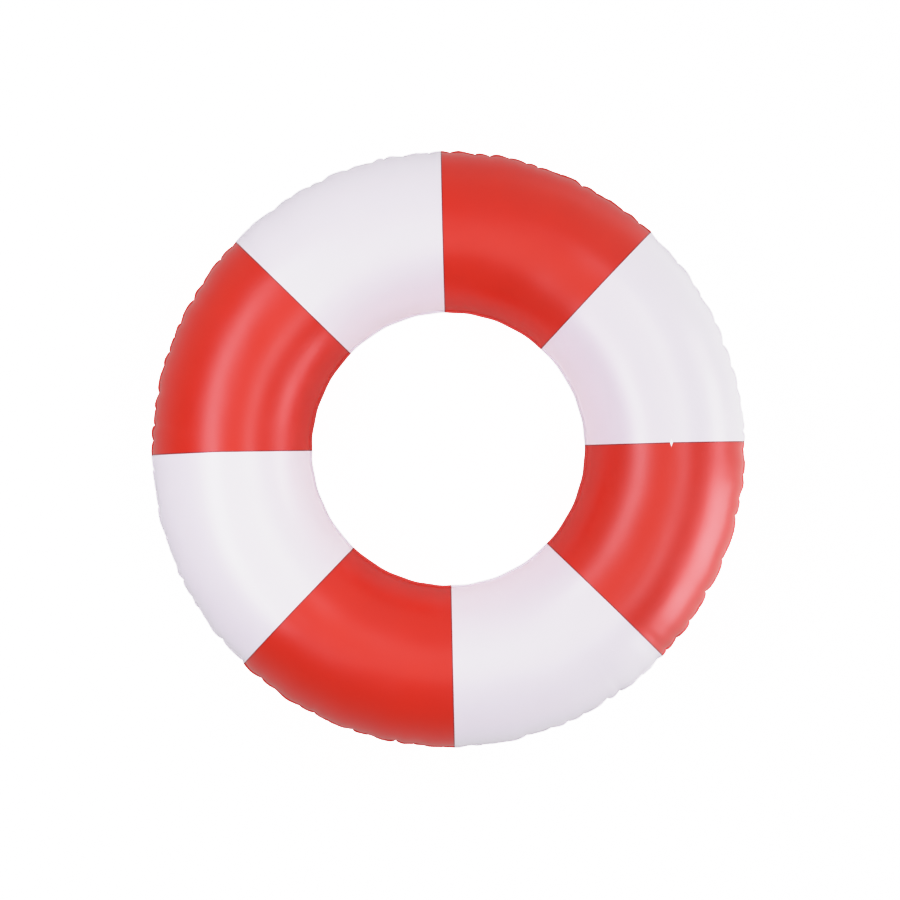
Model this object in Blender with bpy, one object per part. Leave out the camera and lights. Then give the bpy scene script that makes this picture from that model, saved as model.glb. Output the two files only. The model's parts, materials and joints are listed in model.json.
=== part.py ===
"""Inflatable swim ring printed like a lifebuoy, with two air chambers and two push-in valves.

Metres, +Z up. The ring lies on its back film with the printed front film up. The origin is on the
ring's axis, level with the flat that it rests on. A section of the tube is given as (radius from the
ring's axis, height above the tube's middle), and an angle in it runs from 0 at the outer seam, over
90 at the crown, to 180 at the inner seam and 270 at the bottom.
"""

import math

import bmesh
import bpy
from mathutils import Matrix, Vector

# The inflated ring, measured over its weld seams
OUTER_DIAMETER = 0.740
HOLE_DIAMETER = 0.339

# Films, and the lands where they are welded face to face
FILM = 0.00025
DIVIDER_FILM = 0.0002
OUTER_LAND = 0.004
INNER_LAND = 0.003
DIVIDER_LAND = 0.005
DIVIDER_WELD_ANGLE = 280.0
DIVIDER_BULGE = 0.025
DIVIDER_STEPS = 6

# What welded or resting pieces keep between them
GAP = 0.0003

# Facets round the ring, and in half a section. An odd number leaves a flat at the crown and the bottom.
RING_SIDES = 56
HALF_SECTION_SIDES = 11

# The print: equal red and white segments, turned a little from the X axis
PRINT_SEGMENTS = 8
PRINT_TURN = math.radians(1.36)

# Where each valve sits: degrees round the ring, and the angle in the tube's section
VALVE_PLACES = {"main_valve": (286.0, 319.0), "safety_valve": (301.0, 221.0)}

# Valve stem: heights run outwards from the film's outer face, with the stem pushed in
BORE_RADIUS = 0.0038
STEM_WALL = 0.0014
STEM_TOP = -0.0008
STEM_LENGTH = 0.0152
RIM_OVERHANG = 0.0012
RIM_THICKNESS = 0.0012
COLLAR_OVERHANG = 0.0008
COLLAR_THICKNESS = 0.0015
FLAP_SEAT_LIP = 0.001
FLAP_SEAT_THICKNESS = 0.0012
FLAP_OVERLAP = 0.0014
FLAP_THICKNESS = 0.0005

# Plug, cap and tether. The plug swings out of the bore about a hinge beside the cap.
CAP_OVERHANG = 0.0006
CAP_THICKNESS = 0.0013
PLUG_DEPTH = 0.0045
SWING_CLEARANCE = 0.00025
PULL_TAB_LENGTH = 0.003
PULL_TAB_WIDTH = 0.005
STRAP_LENGTH = 0.003
STRAP_WIDTH = 0.004
STRAP_THICKNESS = 0.0008
KNUCKLE_RADIUS = 0.0007
TETHER_WALL = 0.0017
TETHER_THICKNESS = 0.0012

# Valve seat: the flange and skirt, and the hole in the film in front of them
SEAT_CLEARANCE = 0.0012
SKIRT_WALL = 0.0006
SKIRT_RIM_HEIGHT = 0.0022
SKIRT_CUFF_HEIGHT = 0.002
FLANGE_LEDGE = 0.001
FLANGE_WELD = 0.0045
FLANGE_THICKNESS = 0.001

# Facets round each turned valve piece
VALVE_SIDES = 20
KNUCKLE_SIDES = 10

# Base colour and roughness of each finish
RED_PRINT = ((0.73, 0.038, 0.023, 1.0), 0.32)
WHITE_FILM = ((0.82, 0.80, 0.86, 1.0), 0.32)
CLEAR_FILM = ((0.78, 0.80, 0.84, 1.0), 0.25)
VALVE_WHITE = ((0.86, 0.86, 0.88, 1.0), 0.35)
VALVE_CLEAR = ((0.80, 0.83, 0.86, 1.0), 0.20)

# Values that follow from the sizes above
TUBE_OUTER = OUTER_DIAMETER / 2 - OUTER_LAND
TUBE_INNER = HOLE_DIAMETER / 2 + INNER_LAND
TUBE_CENTRE = (TUBE_OUTER + TUBE_INNER) / 2
TUBE_RADIUS = (TUBE_OUTER - TUBE_INNER) / 2
SECTION_STEP = math.pi / HALF_SECTION_SIDES
RING_STEP = 2 * math.pi / RING_SIDES
TUBE_HEIGHT = TUBE_RADIUS * math.cos(SECTION_STEP / 2) + FILM / 2
STEM_RADIUS = BORE_RADIUS + STEM_WALL
STEM_BOTTOM = STEM_TOP - STEM_LENGTH
RIM_RADIUS = STEM_RADIUS + RIM_OVERHANG
COLLAR_RADIUS = STEM_RADIUS + COLLAR_OVERHANG
FLAP_SEAT_RADIUS = BORE_RADIUS - FLAP_SEAT_LIP
FLAP_RADIUS = FLAP_SEAT_RADIUS + FLAP_OVERLAP
CAP_RADIUS = RIM_RADIUS + CAP_OVERHANG
HINGE_OFFSET = CAP_RADIUS + STRAP_LENGTH
HINGE_HEIGHT = STEM_TOP + GAP
PLUG_RADIUS = BORE_RADIUS - GAP
PLUG_SWING = HINGE_OFFSET + BORE_RADIUS - SWING_CLEARANCE
PLUG_TIP_RADIUS = math.sqrt(PLUG_SWING**2 - PLUG_DEPTH**2) - HINGE_OFFSET
SEAT_RADIUS = HINGE_OFFSET + KNUCKLE_RADIUS + SEAT_CLEARANCE
FLANGE_BORE_RADIUS = SEAT_RADIUS + SKIRT_WALL + GAP
FILM_HOLE_RADIUS = FLANGE_BORE_RADIUS + FLANGE_LEDGE
FLANGE_RADIUS = FILM_HOLE_RADIUS + FLANGE_WELD


def clear_scene():
    for item in list(bpy.data.objects):
        bpy.data.objects.remove(item)


def material(name, finish):
    colour, roughness = finish
    made = bpy.data.materials.new(name)
    made.use_nodes = True
    shader = made.node_tree.nodes["Principled BSDF"]
    shader.inputs["Base Color"].default_value = colour
    shader.inputs["Roughness"].default_value = roughness
    return made


def add_object(name, bm, parent=None, place=(0.0, 0.0, 0.0)):
    """Turns a bmesh into a named object, smooth where it is round."""
    bmesh.ops.recalc_face_normals(bm, faces=bm.faces)
    mesh = bpy.data.meshes.new(name)
    bm.to_mesh(mesh)
    bm.free()
    mesh.shade_smooth()
    mesh.set_sharp_from_angle(angle=math.radians(35))
    made = bpy.data.objects.new(name, mesh)
    bpy.context.collection.objects.link(made)
    made.parent = parent
    made.location = place
    return made


def finish(made, look):
    made.data.materials.append(material(made.name, look))
    return made


def turned(name, profile, sides, closed=True, start=0.0, **placing):
    """A (radius, height) profile turned about Z. An open profile starts and ends on the axis."""
    bm = bmesh.new()
    points = [bm.verts.new((radius, 0.0, height)) for radius, height in profile]
    ends = points[1:] + points[:1] if closed else points[1:]
    edges = [bm.edges.new(pair) for pair in zip(points, ends)]
    bmesh.ops.rotate(bm, verts=bm.verts, matrix=Matrix.Rotation(start, 3, "Z"))
    axis = {"cent": (0.0, 0.0, 0.0), "axis": (0.0, 0.0, 1.0)}
    bmesh.ops.spin(bm, geom=points + edges, angle=2 * math.pi, steps=sides, use_merge=True, **axis)
    bmesh.ops.remove_doubles(bm, verts=bm.verts, dist=1e-7)
    return add_object(name, bm, **placing)


def ring_loop(inner, outer, bottom, top):
    """The rectangular section of a plain ring."""
    return [(inner, bottom), (outer, bottom), (outer, top), (inner, top)]


def block(name, low, high, **placing):
    """A box between two corners."""
    low, high = Vector(low), Vector(high)
    size = Matrix.Diagonal(high - low).to_4x4()
    bm = bmesh.new()
    bmesh.ops.create_cube(bm, size=1.0, matrix=Matrix.Translation((low + high) / 2) @ size)
    return add_object(name, bm, **placing)


def combine(target, tool, operation):
    """Joins a tool to a piece, or cuts a piece with it. The tool itself isn't part of the object."""
    tool.hide_render = True
    tool.display_type = "WIRE"
    step = target.modifiers.new(tool.name, "BOOLEAN")
    step.operation = operation
    step.solver = "EXACT"
    step.object = tool


# The films: profiles of the tube's wall


def wall_corner(step, inset=0.0):
    """Corner number step of the tube's faceted section, moved inwards by inset."""
    angle = step * SECTION_STEP
    reach = TUBE_RADIUS - inset
    return Vector((TUBE_CENTRE + reach * math.cos(angle), reach * math.sin(angle)))


def wall_point(degrees, inset):
    """The point on the faceted wall at an angle, moved inwards by inset."""
    step, share = divmod(math.radians(degrees) / SECTION_STEP, 1)
    return wall_corner(step, inset).lerp(wall_corner(step + 1, inset), share)


def band(path, thickness):
    """The closed loop round a film of even thickness whose middle follows a path."""
    points = [Vector(point) for point in path]
    runs = [(end - start).normalized() for start, end in zip(points, points[1:])]
    sides = [Vector((-run.y, run.x)) for run in runs]
    pairs = zip(sides[:1] + sides, sides + sides[-1:])
    mitres = [(a + b) * (thickness / 2) / (1 + a.dot(b)) for a, b in pairs]
    left = [point + mitre for point, mitre in zip(points, mitres)]
    right = [point - mitre for point, mitre in zip(points, mitres)]
    return left + right[::-1]


def panel_path(side):
    """The middle of the front (side 1) or back (side -1) film, from the hole to the outer edge."""
    inner = side * (DIVIDER_FILM / 2 + GAP + FILM / 2)
    outer = side * (GAP / 2 + FILM / 2)
    steps = range(HALF_SECTION_SIDES - 1, 0, -1)
    arc = [wall_corner(side * step) for step in steps]
    seam_in = [(HOLE_DIAMETER / 2, inner), (TUBE_INNER, inner)]
    seam_out = [(TUBE_OUTER, outer), (OUTER_DIAMETER / 2, outer)]
    return seam_in + arc + seam_out


def divider_path():
    """From the inner seam, in one easy curve, to a lap weld on the inside of the back film."""
    inset = FILM / 2 + GAP + DIVIDER_FILM / 2
    half_land = math.degrees(DIVIDER_LAND / 2 / TUBE_RADIUS)
    start = Vector((TUBE_INNER, 0.0))
    weld_start = wall_point(DIVIDER_WELD_ANGLE - half_land, inset)
    weld_end = wall_point(DIVIDER_WELD_ANGLE + half_land, inset)
    chord = weld_start - start
    across = Vector((-chord.y, chord.x)).normalized()
    pull = (start + weld_start) / 2 + across * (2 * DIVIDER_BULGE)
    shares = [step / DIVIDER_STEPS for step in range(DIVIDER_STEPS + 1)]
    curve = [start.lerp(pull, t).lerp(pull.lerp(weld_start, t), t) for t in shares]
    return [Vector((HOLE_DIAMETER / 2, 0.0))] + curve + [weld_end]


def film(name, path, thickness, look):
    raised = {"place": (0.0, 0.0, TUBE_HEIGHT), "start": PRINT_TURN}
    return finish(turned(name, band(path, thickness), RING_SIDES, **raised), look)


def print_segments(panel):
    """Every second segment of a white panel is printed red."""
    panel.data.materials.append(material(panel.name + "_print", RED_PRINT))
    width = 2 * math.pi / PRINT_SEGMENTS
    for face in panel.data.polygons:
        middle = face.center
        azimuth = (math.atan2(middle.y, middle.x) - PRINT_TURN) % (2 * math.pi)
        face.material_index = int(azimuth / width) % 2


def solid_tube(name, inset):
    """The closed tube inside the films, for cutting what lies against them."""
    corners = [wall_corner(step, inset) for step in range(2 * HALF_SECTION_SIDES)]
    return turned(name, corners, RING_SIDES, start=PRINT_TURN, place=(0.0, 0.0, TUBE_HEIGHT))


# The valves: each is built round its own axis, with +Z outwards and +X up the tube's wall


def seat_matrix(azimuth, angle):
    """The middle of the wall's facet at a place, turned so that Z leaves the wall and X climbs it."""
    ring = math.floor((math.radians(azimuth) - PRINT_TURN) / RING_STEP)
    step = math.floor(math.radians(angle) / SECTION_STEP)
    corners = []
    for across in (ring, ring + 1):
        turn = Matrix.Rotation(PRINT_TURN + across * RING_STEP, 3, "Z")
        for along in (step, step + 1):
            point = wall_corner(along)
            corners.append(turn @ Vector((point.x, 0.0, point.y + TUBE_HEIGHT)))
    up = (corners[1] + corners[3] - corners[0] - corners[2]).normalized()
    up = up if up.z > 0 else -up
    tangent = (corners[2] + corners[3] - corners[0] - corners[1]).normalized()
    outward = up.cross(tangent).normalized()
    middle = sum(corners, Vector()) / len(corners)
    centre = Vector((middle.x, middle.y, 0.0)).normalized() * TUBE_CENTRE
    centre.z = TUBE_HEIGHT
    outward = outward if outward.dot(middle - centre) > 0 else -outward
    rotation = Matrix((up, outward.cross(up), outward)).transposed()
    return Matrix.Translation(middle + outward * (FILM / 2)) @ rotation.to_4x4()


def valve_flange(name, seat, outer_tube, inner_tube):
    """A ring welded to the inside of the film. It follows the film's curve."""
    reach = FLANGE_RADIUS / 2
    loop = ring_loop(FLANGE_BORE_RADIUS, FLANGE_RADIUS, -reach, reach)
    flange = turned(name + "_flange", loop, VALVE_SIDES, parent=seat)
    combine(flange, outer_tube, "INTERSECT")
    combine(flange, inner_tube, "DIFFERENCE")
    return finish(flange, VALVE_WHITE)


def valve_skirt(name, seat):
    """A thin funnel from the flange's bore down to the stem's collar. It rolls over as the stem moves."""
    top = -FILM / 2 - GAP
    rim = SEAT_RADIUS + SKIRT_WALL / 2
    cuff = COLLAR_RADIUS + GAP + SKIRT_WALL / 2
    path = [
        (rim, top),
        (rim, top - SKIRT_RIM_HEIGHT),
        (cuff, STEM_BOTTOM + SKIRT_CUFF_HEIGHT),
        (cuff, STEM_BOTTOM),
    ]
    loop = band(path, SKIRT_WALL)
    return finish(turned(name + "_skirt", loop, VALVE_SIDES, parent=seat), VALVE_CLEAR)


def valve_stem(name, seat):
    """The tube that the plug closes: a rim at its mouth, a collar and the flap's seat at its foot."""
    loop = [
        (BORE_RADIUS, STEM_TOP),
        (BORE_RADIUS, STEM_BOTTOM + FLAP_SEAT_THICKNESS),
        (FLAP_SEAT_RADIUS, STEM_BOTTOM + FLAP_SEAT_THICKNESS),
        (FLAP_SEAT_RADIUS, STEM_BOTTOM),
        (COLLAR_RADIUS, STEM_BOTTOM),
        (COLLAR_RADIUS, STEM_BOTTOM + COLLAR_THICKNESS),
        (STEM_RADIUS, STEM_BOTTOM + COLLAR_THICKNESS),
        (STEM_RADIUS, STEM_TOP - RIM_THICKNESS),
        (RIM_RADIUS, STEM_TOP - RIM_THICKNESS),
        (RIM_RADIUS, STEM_TOP),
    ]
    return finish(turned(name + "_stem", loop, VALVE_SIDES, parent=seat), VALVE_WHITE)


def valve_tether(name, seat):
    """A ring held under the stem's rim, with an arm and a post that end just below the plug's hinge."""
    top = STEM_TOP - RIM_THICKNESS - GAP
    bottom = top - TETHER_THICKNESS
    inner = STEM_RADIUS + GAP
    outer = inner + TETHER_WALL
    post_top = HINGE_HEIGHT - KNUCKLE_RADIUS - GAP
    side = STRAP_WIDTH / 2
    reach = HINGE_OFFSET + KNUCKLE_RADIUS
    ring = turned(name + "_tether", ring_loop(inner, outer, bottom, top), VALVE_SIDES, parent=seat)
    arm = block(name + "_arm", (outer - TETHER_WALL / 2, -side, bottom), (reach, side, top), parent=seat)
    post_low = (HINGE_OFFSET - KNUCKLE_RADIUS, -side, (bottom + top) / 2)
    post = block(name + "_post", post_low, (reach, side, post_top), parent=seat)
    combine(ring, arm, "UNION")
    combine(ring, post, "UNION")
    return finish(ring, VALVE_WHITE)


def valve_plug(name, seat):
    """Cap, tapered plug, strap and pull tab in one, about the strap's hinge."""
    centre = -HINGE_OFFSET
    placing = {"parent": seat, "place": (HINGE_OFFSET, 0.0, HINGE_HEIGHT)}
    profile = [
        (0.0, CAP_THICKNESS),
        (CAP_RADIUS, CAP_THICKNESS),
        (CAP_RADIUS, 0.0),
        (PLUG_RADIUS, 0.0),
        (PLUG_TIP_RADIUS, -PLUG_DEPTH),
        (0.0, -PLUG_DEPTH),
    ]
    plug = turned(name + "_plug", profile, VALVE_SIDES, closed=False, **placing)
    plug.data.transform(Matrix.Translation((centre, 0.0, 0.0)))
    side = STRAP_WIDTH / 2
    strap_low = (centre + CAP_RADIUS * 0.8, -side, 0.0)
    strap = block(name + "_strap", strap_low, (0.0, side, STRAP_THICKNESS), **placing)
    tab_side = PULL_TAB_WIDTH / 2
    tab_low = (centre - CAP_RADIUS - PULL_TAB_LENGTH, -tab_side, CAP_THICKNESS - STRAP_THICKNESS)
    tab_high = (centre - CAP_RADIUS * 0.8, tab_side, CAP_THICKNESS * 0.9)
    tab = block(name + "_tab", tab_low, tab_high, **placing)
    circle = [(0.0, side), (KNUCKLE_RADIUS, side), (KNUCKLE_RADIUS, -side), (0.0, -side)]
    knuckle = turned(name + "_knuckle", circle, KNUCKLE_SIDES, closed=False, **placing)
    knuckle.data.transform(Matrix.Rotation(math.pi / 2, 4, "X"))
    for tool in (strap, tab, knuckle):
        combine(plug, tool, "UNION")
    return finish(plug, VALVE_WHITE)


def valve_flap(name, seat):
    """A thin disc under the stem's seat, held at one edge. Air pushes it open and it springs shut."""
    hinge = FLAP_RADIUS + GAP
    profile = [(0.0, 0.0), (FLAP_RADIUS, 0.0), (FLAP_RADIUS, -FLAP_THICKNESS), (0.0, -FLAP_THICKNESS)]
    placing = {"parent": seat, "place": (hinge, 0.0, STEM_BOTTOM - GAP)}
    flap = turned(name + "_flap", profile, VALVE_SIDES, closed=False, **placing)
    flap.data.transform(Matrix.Translation((-hinge, 0.0, 0.0)))
    return finish(flap, VALVE_CLEAR)


def valve(name, place, back_panel, outer_tube, inner_tube):
    seat = bpy.data.objects.new(name + "_seat", None)
    bpy.context.collection.objects.link(seat)
    seat.matrix_world = seat_matrix(*place)
    deep = FILM_HOLE_RADIUS / 2
    profile = [(0.0, deep), (FILM_HOLE_RADIUS, deep), (FILM_HOLE_RADIUS, -deep), (0.0, -deep)]
    hole = turned(name + "_hole", profile, VALVE_SIDES, closed=False, parent=seat)
    combine(back_panel, hole, "DIFFERENCE")
    valve_flange(name, seat, outer_tube, inner_tube)
    valve_skirt(name, seat)
    valve_stem(name, seat)
    valve_tether(name, seat)
    valve_plug(name, seat)
    valve_flap(name, seat)


def build_ring():
    clear_scene()
    front_panel = film("front_panel", panel_path(1), FILM, WHITE_FILM)
    back_panel = film("back_panel", panel_path(-1), FILM, WHITE_FILM)
    for panel in (front_panel, back_panel):
        print_segments(panel)
    film("chamber_divider", divider_path(), DIVIDER_FILM, CLEAR_FILM)
    flange_top = FILM / 2 + GAP
    outer_tube = solid_tube("flange_top_guide", flange_top)
    inner_tube = solid_tube("flange_bottom_guide", flange_top + FLANGE_THICKNESS)
    for name, place in VALVE_PLACES.items():
        valve(name, place, back_panel, outer_tube, inner_tube)


build_ring()
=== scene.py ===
import json
import math

import bpy
import numpy as np
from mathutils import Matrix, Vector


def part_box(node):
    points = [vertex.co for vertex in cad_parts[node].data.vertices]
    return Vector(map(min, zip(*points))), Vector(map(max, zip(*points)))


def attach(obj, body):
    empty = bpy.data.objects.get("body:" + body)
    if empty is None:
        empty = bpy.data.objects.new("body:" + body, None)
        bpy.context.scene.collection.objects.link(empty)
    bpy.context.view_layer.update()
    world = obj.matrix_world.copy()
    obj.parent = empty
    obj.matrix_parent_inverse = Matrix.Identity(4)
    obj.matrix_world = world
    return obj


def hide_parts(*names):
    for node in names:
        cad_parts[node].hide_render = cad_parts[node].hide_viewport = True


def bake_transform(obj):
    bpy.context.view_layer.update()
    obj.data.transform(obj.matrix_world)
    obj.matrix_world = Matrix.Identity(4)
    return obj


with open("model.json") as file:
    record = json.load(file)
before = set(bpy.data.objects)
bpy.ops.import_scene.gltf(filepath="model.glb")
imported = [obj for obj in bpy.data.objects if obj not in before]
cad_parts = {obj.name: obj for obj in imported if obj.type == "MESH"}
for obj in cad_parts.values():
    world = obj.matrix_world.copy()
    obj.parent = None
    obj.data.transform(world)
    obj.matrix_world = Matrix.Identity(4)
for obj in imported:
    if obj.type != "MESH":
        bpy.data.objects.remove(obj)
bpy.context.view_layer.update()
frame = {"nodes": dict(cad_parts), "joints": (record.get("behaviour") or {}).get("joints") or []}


# The front film is a flat annulus of 0.25 mm soft PVC, printed on its outside. It is laid on a
# second one and heat-welded to it along the outer edge and round the hole, and air bows them into a
# tube. The outer weld was cut longer than the blown ring's edge, so it puckers into lobes.

FILM = 0.00025
OUTER_LAND = 0.0026
INNER_LAND = 0.003
LAND_FILLET = 0.0010
OUTER_LAND_TOP = 0.00036
INNER_LAND_TOP = 0.00037
FRONT_ROWS = 46
CHAMBER_WELD = math.radians(80)
CHAMBER_GROOVE = 0.0011
CHAMBER_GROOVE_REACH = 0.0035

LOBES = 84
LOBE_COLUMNS = 8
LOBE_SPACING = 0.5, 1.5
LOBE_BOW = 0.0006, 0.0024
LOBE_BOW_REACH = 0.018
FOLD_DEPTH = 0.0009, 0.0031
FOLD_REACH = 0.016, 0.042
DEEP_FOLDS = {63: 0.0032, 169: 0.0032, 331: 0.0044, 347: 0.0042}
DEEP_FOLD_REACH = 0.03
SCALLOP_REACH = 0.007
EDGE_DROOP = 0.0012
RIPPLE = 0.0007
RIPPLES = ((3, 1), (5, -2), (8, 1), (11, 2), (17, -1), (23, 1))
BROAD_FOLD, BROAD_FOLD_REACH = 0.0006, 0.07
FLUTTER, FLUTTER_REACH = 0.0003, 0.006
HOLE_RIPPLE, HOLE_RIPPLE_REACH = 0.0003, 0.03
SPREAD, SPREAD_OVAL, SPREAD_SHIFT = 0.0003, 0.0010, 0.0003

front_low, front_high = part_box("front_panel")
back_low, back_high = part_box("back_panel")
seam_height = (front_low.z + back_high.z) / 2
edge_radius = front_high.x


def node_points(node):
    """Every corner of a CAD node's mesh, as one row of x, y, z each."""
    flat = np.empty(3 * len(frame["nodes"][node].data.vertices), np.float32)
    frame["nodes"][node].data.vertices.foreach_get("co", flat)
    return flat.reshape(-1, 3).astype(float)


panel_points = node_points("front_panel")
hole_radius = np.hypot(panel_points[:, 0], panel_points[:, 1]).min()
outer_root = edge_radius - OUTER_LAND
inner_root = hole_radius + INNER_LAND
tube_centre = (outer_root + inner_root) / 2
tube_half = (outer_root - inner_root) / 2
tube_tall = front_high.z - seam_height

dice = np.random.default_rng(24)
spacing = dice.uniform(*LOBE_SPACING, LOBES)
fold_angle = 2 * np.pi * np.cumsum(spacing) / spacing.sum()
fold_depth = dice.uniform(*FOLD_DEPTH, LOBES)
fold_reach = dice.uniform(*FOLD_REACH, LOBES)
lobe_skew = 2.0 ** dice.uniform(-0.5, 0.5, LOBES)
lobe_bow = dice.uniform(*LOBE_BOW, LOBES) * np.where(np.arange(LOBES) % 2, 1, -1)
for degrees, depth in DEEP_FOLDS.items():
    nearest = np.abs(np.degrees(fold_angle) - degrees).argmin()
    fold_angle[nearest] = math.radians(degrees)
    fold_depth[nearest] = depth
    fold_reach[nearest] = DEEP_FOLD_REACH

share = np.arange(LOBE_COLUMNS) / LOBE_COLUMNS
share = 0.35 * share + 0.65 * (1 - np.cos(np.pi * share)) / 2
ease = share**2 * (3 - 2 * share)


def over_lobes(values):
    """A value per fold, carried across each lobe to the next fold by an easy curve 3t^2 - 2t^3."""
    return (values[:, None] + (np.roll(values, -1) - values)[:, None] * ease).ravel()


lobe_width = np.diff(np.append(fold_angle, fold_angle[0] + 2 * np.pi))
azimuth = (fold_angle[:, None] + lobe_width[:, None] * share).ravel()
depth_here = over_lobes(fold_depth)
reach_here = over_lobes(fold_reach)
leaning = share ** lobe_skew[:, None]
scallop = (1 - (4 * leaning * (1 - leaning)) ** 0.7).ravel()
pleat = np.tile((1 + np.cos(2 * np.pi * share)) / 2, LOBES)
bow = (lobe_bow[:, None] * np.sin(np.pi * share)).ravel()
ripples = [
    (wave, climb, dice.uniform(0, 2 * np.pi), RIPPLE / wave**0.6) for wave, climb in RIPPLES
]


def section_rows(count, crowded, width=0.16, crowding=1.5):
    """Angles from the outer root to the inner root, closer together near both roots and near each
    angle in crowded.

    The spacing is the inverse of a density: 1, plus a bell of the given width for each of them."""
    fine = np.linspace(0, np.pi, 4001)
    density = np.ones_like(fine)
    for angle in (0.0, np.pi, *crowded):
        density += crowding * np.exp(-(((fine - angle) / width) ** 2))
    total = np.concatenate([[0], np.cumsum((density[1:] + density[:-1]) / 2)])
    ends = OUTER_LAND_TOP + LAND_FILLET, INNER_LAND_TOP + LAND_FILLET
    first, last = np.arcsin(ends[0] / tube_tall), np.pi - np.arcsin(ends[1] / tube_tall)
    wanted = np.linspace(*np.interp([first, last], fine, total), count)
    return np.interp(wanted, total, fine)


def film_section(angles):
    """The film's outer face in one section, from the outer edge to the hole: land, fillet, wall,
    fillet, land.

    The wall is a half ellipse, centre + half cos, tall sin. Gives each row's radius, height over
    the seam, angle in the tube's section, and how strongly the weld's die pressed it."""
    turn = np.linspace(0, np.pi / 2, 5)[:-1]
    out_land = np.linspace(edge_radius, outer_root + LAND_FILLET, 4)[:-1]
    in_land = np.linspace(inner_root - LAND_FILLET, hole_radius, 3)[1:]
    out_fillet = outer_root + LAND_FILLET * (1 - np.sin(turn))
    in_fillet = inner_root - LAND_FILLET * (1 - np.cos(turn))
    radius = [out_land, out_fillet, tube_centre + tube_half * np.cos(angles), in_fillet, in_land]
    out_rise = OUTER_LAND_TOP + LAND_FILLET * (1 - np.cos(turn))
    in_rise = INNER_LAND_TOP + LAND_FILLET * (1 - np.sin(turn))
    lands = np.full(3, OUTER_LAND_TOP), np.full(2, INNER_LAND_TOP)
    rise = [lands[0], out_rise, tube_tall * np.sin(angles), in_rise, lands[1]]
    angle = np.concatenate([np.zeros(7), angles, np.full(6, np.pi)])
    weld = [np.ones(3), np.full(4, 0.4), 0 * angles, np.full(4, 0.4), np.ones(2)]
    return np.concatenate(radius), np.concatenate(rise), angle, np.concatenate(weld)


def film_skin(side, angles):
    """The puckered outer face of the front (side 1) or back (side -1) film, as a grid of points.

    Folds push the wall inwards: sharp scallops at the seam that turn into soft pleats and die away.
    The seam's own line bows up and down from lobe to lobe and flutters finely, its land droops a
    little, and slow ripples run over the whole tube. The divider's weld pulls a groove into the
    back."""
    radius, rise, angle, weld = (row[:, None] for row in film_section(angles))
    out = angle * tube_half
    inwards = (np.pi - angle) * tube_half
    near = np.exp(-out / SCALLOP_REACH)
    fold = near * scallop + (1 - near) * pleat
    push = -depth_here * fold * np.exp(-((out / reach_here) ** 1.4))
    broad = np.cos(31 * azimuth + 2 * np.sin(3 * azimuth))
    push = push - BROAD_FOLD * broad * np.exp(-((out / BROAD_FOLD_REACH) ** 2))
    flutter = np.cos(118 * azimuth + 5 * np.sin(7 * azimuth))
    flutter = flutter + np.cos(87 * azimuth + 4 * np.sin(5 * azimuth))
    push = push + FLUTTER * flutter * np.exp(-((out / FLUTTER_REACH) ** 2))
    calm = np.sin(angle) ** 0.5
    for wave, climb, phase, amount in ripples:
        push = push + calm * amount * np.cos(wave * azimuth + side * climb * angle + phase)
    if side < 0:
        from_weld = (angle - CHAMBER_WELD) * tube_half
        welded = np.exp(-((from_weld / CHAMBER_GROOVE_REACH) ** 2))
        push = push - CHAMBER_GROOVE * welded
        weld = np.maximum(weld, 0.7 * welded)
    tight = HOLE_RIPPLE * np.cos(27 * azimuth + 1.5 * np.sin(4 * azimuth))
    tight = tight * np.exp(-((inwards / HOLE_RIPPLE_REACH) ** 2))
    spread = SPREAD + SPREAD_OVAL * np.cos(2 * (azimuth - 1.9))
    spread = spread - SPREAD_SHIFT * np.cos(azimuth - 1.7)
    spread = spread * (radius - hole_radius) / (edge_radius - hole_radius)
    reach = radius + np.cos(angle) * push + spread + tight
    height = side * (rise + np.sin(angle) * push)
    height = height + bow * np.exp(-((out / LOBE_BOW_REACH) ** 2))
    height = height - EDGE_DROOP * np.clip((radius - outer_root) / OUTER_LAND, 0, 1) ** 1.5
    level = np.broadcast_to(seam_height + height, reach.shape)
    level = np.clip(level, back_low.z, front_high.z)
    grid = np.stack([reach * np.cos(azimuth), reach * np.sin(azimuth), level], -1)
    return grid, np.broadcast_to(weld, reach.shape)


def faces_outwards(grid, side):
    """The unit normal at each point of a ring-shaped grid: its two tangents' cross product."""
    along = np.roll(grid, -1, 1) - np.roll(grid, 1, 1)
    across = np.gradient(grid, axis=0)
    normal = side * np.cross(across, along)
    return -normal / np.linalg.norm(normal, axis=-1, keepdims=True)


def add_mesh(name, points, faces):
    """A named mesh object at the origin, from rows of points and of corner numbers, smooth."""
    mesh = bpy.data.meshes.new(name)
    mesh.from_pydata(points.tolist(), [], faces)
    mesh.shade_smooth()
    made = bpy.data.objects.new(name, mesh)
    bpy.context.scene.collection.objects.link(made)
    return made


def grid_faces(rows, columns, close_rows=True):
    """Quads over a grid whose columns close on themselves, and whose rows do if asked."""
    number = np.arange(rows * columns).reshape(rows, columns)
    beside = np.roll(number, -1, 1)
    corners = [number, beside, np.roll(beside, -1, 0), np.roll(number, -1, 0)]
    quads = np.stack(corners, -1)
    return (quads if close_rows else quads[:-1]).reshape(-1, 4)


def film_shell(name, grid, side, weld, thickness=FILM):
    """A closed film: its outer face and, one thickness behind it, its inner face, joined at both
    edges."""
    inner = grid - thickness * faces_outwards(grid, side)
    shell = np.concatenate([grid, inner[::-1]])
    quads = grid_faces(len(shell), shell.shape[1])
    quads = quads if side > 0 else quads[:, ::-1]
    made = add_mesh(name, shell.reshape(-1, 3), quads.tolist())
    mask = np.concatenate([weld, weld[::-1]]).ravel().astype(np.float32)
    made.data.attributes.new("weld", "FLOAT", "POINT").data.foreach_set("value", mask)
    return made


front_grid, front_weld = film_skin(1, section_rows(FRONT_ROWS, []))
front_film = film_shell("front_film", front_grid, 1, front_weld)


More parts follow.
